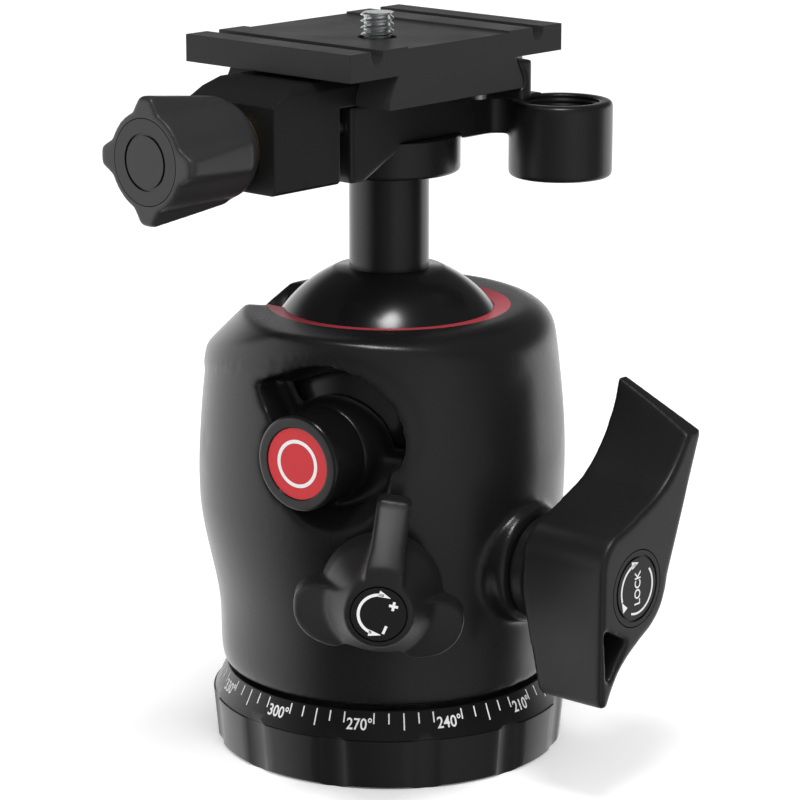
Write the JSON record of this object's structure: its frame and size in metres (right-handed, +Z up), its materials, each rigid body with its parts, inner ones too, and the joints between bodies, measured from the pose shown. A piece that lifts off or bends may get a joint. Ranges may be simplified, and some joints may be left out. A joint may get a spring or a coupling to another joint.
{
  "type": "tripod ball head",
  "caption": "Tripod ball head with a lever-locked ball, friction knob, panning base with degree scale, and a screw clamp holding a dovetail quick-release plate.",
  "frame": {"origin": "centre of the tripod thread's mouth, at the centre of the base's underside", "axes": "+Z is up through the neck, +X points to the lock lever's side, and +Y points away from the clamp knob"},
  "size_m": [0.0987, 0.1165, 0.147],
  "materials": {
    "black_casting": "satin black powder coat with a fine texture",
    "base_black": "satin black",
    "scale_black": "satin black with white markings",
    "neck_black": "satin black",
    "ball_black": "polished black",
    "lever_black": "satin black with a fine texture",
    "knob_black": "matte moulded",
    "cap_black": "satin",
    "plate_black": "satin black",
    "seat_red": "satin red",
    "disc_red": "satin red",
    "zinc": "bright zinc plate",
    "steel": "machined",
    "bridge_grey": "machined",
    "bronze": "machined bronze",
    "bearing_plastic": "natural acetal"
  },
  "bodies": {
    "base": {"base_plate": "base_black", "thread_insert": "steel", "scale_ring": "scale_black", "pan_spindle": "steel", "spindle_screws": "steel", "glide_washer": "bearing_plastic", "bearing_washer": "bronze", "spindle_nut": "bridge_grey"},
    "housing": {"housing": "black_casting", "floor_plate": "black_casting", "floor_screws": "steel", "seat_ring": "seat_red", "pressure_ring": "steel", "wedge_bridge": "bridge_grey", "pan_brake_pad": "bearing_plastic", "lever_bush": "bronze", "friction_bush": "bronze", "pan_bush": "bronze", "selector_screw": "steel"},
    "wedge": {"lock_wedge": "steel"},
    "lever": {"lock_lever": "lever_black", "lock_shaft": "steel", "lever_screw": "steel", "lever_cap": "cap_black"},
    "friction": {"friction_knob": "knob_black", "friction_cap": "cap_black", "friction_shaft": "steel"},
    "pan_lock": {"pan_knob": "knob_black", "pan_cap": "cap_black", "pan_shaft": "steel"},
    "selector": {"selector_knob": "knob_black", "selector_disc": "disc_red"},
    "cup": {"ball_cup": "bearing_plastic"},
    "ball": {"ball": "ball_black"},
    "clamp": {"neck": "neck_black", "clamp_body": "black_casting", "fixed_jaw": "black_casting", "accessory_arm": "black_casting", "clamp_bolt": "steel", "jaw_guide_pins": "steel"},
    "jaw": {"moving_jaw": "black_casting", "thrust_washer": "bronze"},
    "clamp_knob": {"clamp_knob": "knob_black", "clamp_knob_cap": "cap_black", "clamp_screw": "steel"},
    "plate": {"quick_plate": "plate_black", "plate_stop_pins": "steel"},
    "camera_screw": {"camera_screw": "zinc"}
  },
  "joints": [
    {"name": "pan_turn", "type": "hinge", "parent": "base", "child": "housing", "pos_m": [0, 0, 0.0162], "axis": [0, 0, 1], "continuous": true},
    {"name": "lever_turn", "type": "hinge", "parent": "housing", "child": "lever", "pos_m": [0, 0, 0.0422], "axis": [0.999, 0.0436, 0], "range_deg": [-65, 20]},
    {"name": "wedge_slide", "type": "slide", "parent": "housing", "child": "wedge", "axis": [0.999, 0.0436, 0], "range_m": [-0.00012, 0.00037]},
    {"name": "friction_turn", "type": "hinge", "parent": "housing", "child": "friction", "pos_m": [0, 0, 0.042], "axis": [0.6494, -0.7604, 0], "range_deg": [0, 270]},
    {"name": "pan_lock_turn", "type": "hinge", "parent": "housing", "child": "pan_lock", "pos_m": [0, 0, 0.02995], "axis": [-0.342, 0.9397, 0], "range_deg": [-90, 720]},
    {"name": "selector_turn", "type": "hinge", "parent": "housing", "child": "selector", "pos_m": [0.00615, 0.00076, 0.0653], "axis": [0.1219, -0.9925, 0], "range_deg": [0, 90]},
    {"name": "ball_swivel", "type": "hinge", "parent": "housing", "child": "cup", "pos_m": [0, 0, 0.0721], "axis": [0, 0, 1], "range_deg": [0, 180]},
    {"name": "ball_tilt", "type": "hinge", "parent": "cup", "child": "ball", "pos_m": [0, 0, 0.0721], "axis": [-0.342, 0.9397, 0], "range_deg": [-90, 34]},
    {"name": "ball_spin", "type": "hinge", "parent": "ball", "child": "clamp", "pos_m": [0, 0, 0.0959], "axis": [0, 0, 1], "continuous": true},
    {"name": "clamp_knob_turn", "type": "hinge", "parent": "jaw", "child": "clamp_knob", "pos_m": [0, -0.05, 0.1249], "axis": [0, -1, 0], "range_deg": [0, 1440]},
    {"name": "jaw_slide", "type": "slide", "parent": "clamp", "child": "jaw", "axis": [0, -1, 0], "range_m": [0, 0.004]},
    {"name": "plate_slide", "type": "slide", "parent": "clamp", "child": "plate", "axis": [1, 0, 0], "range_m": [-0.003, 0.007]},
    {"name": "camera_screw_turn", "type": "hinge", "parent": "plate", "child": "camera_screw", "pos_m": [0.0045, -0.0082, 0.14], "axis": [0, 0, 1], "continuous": true}
  ],
  "couplings": [
    {"joint": "wedge_slide", "follows": "lever_turn", "m_per_rad": -0.0003183},
    {"joint": "clamp_knob_turn", "follows": "jaw_slide", "rad_per_m": 6283.2}
  ]
}
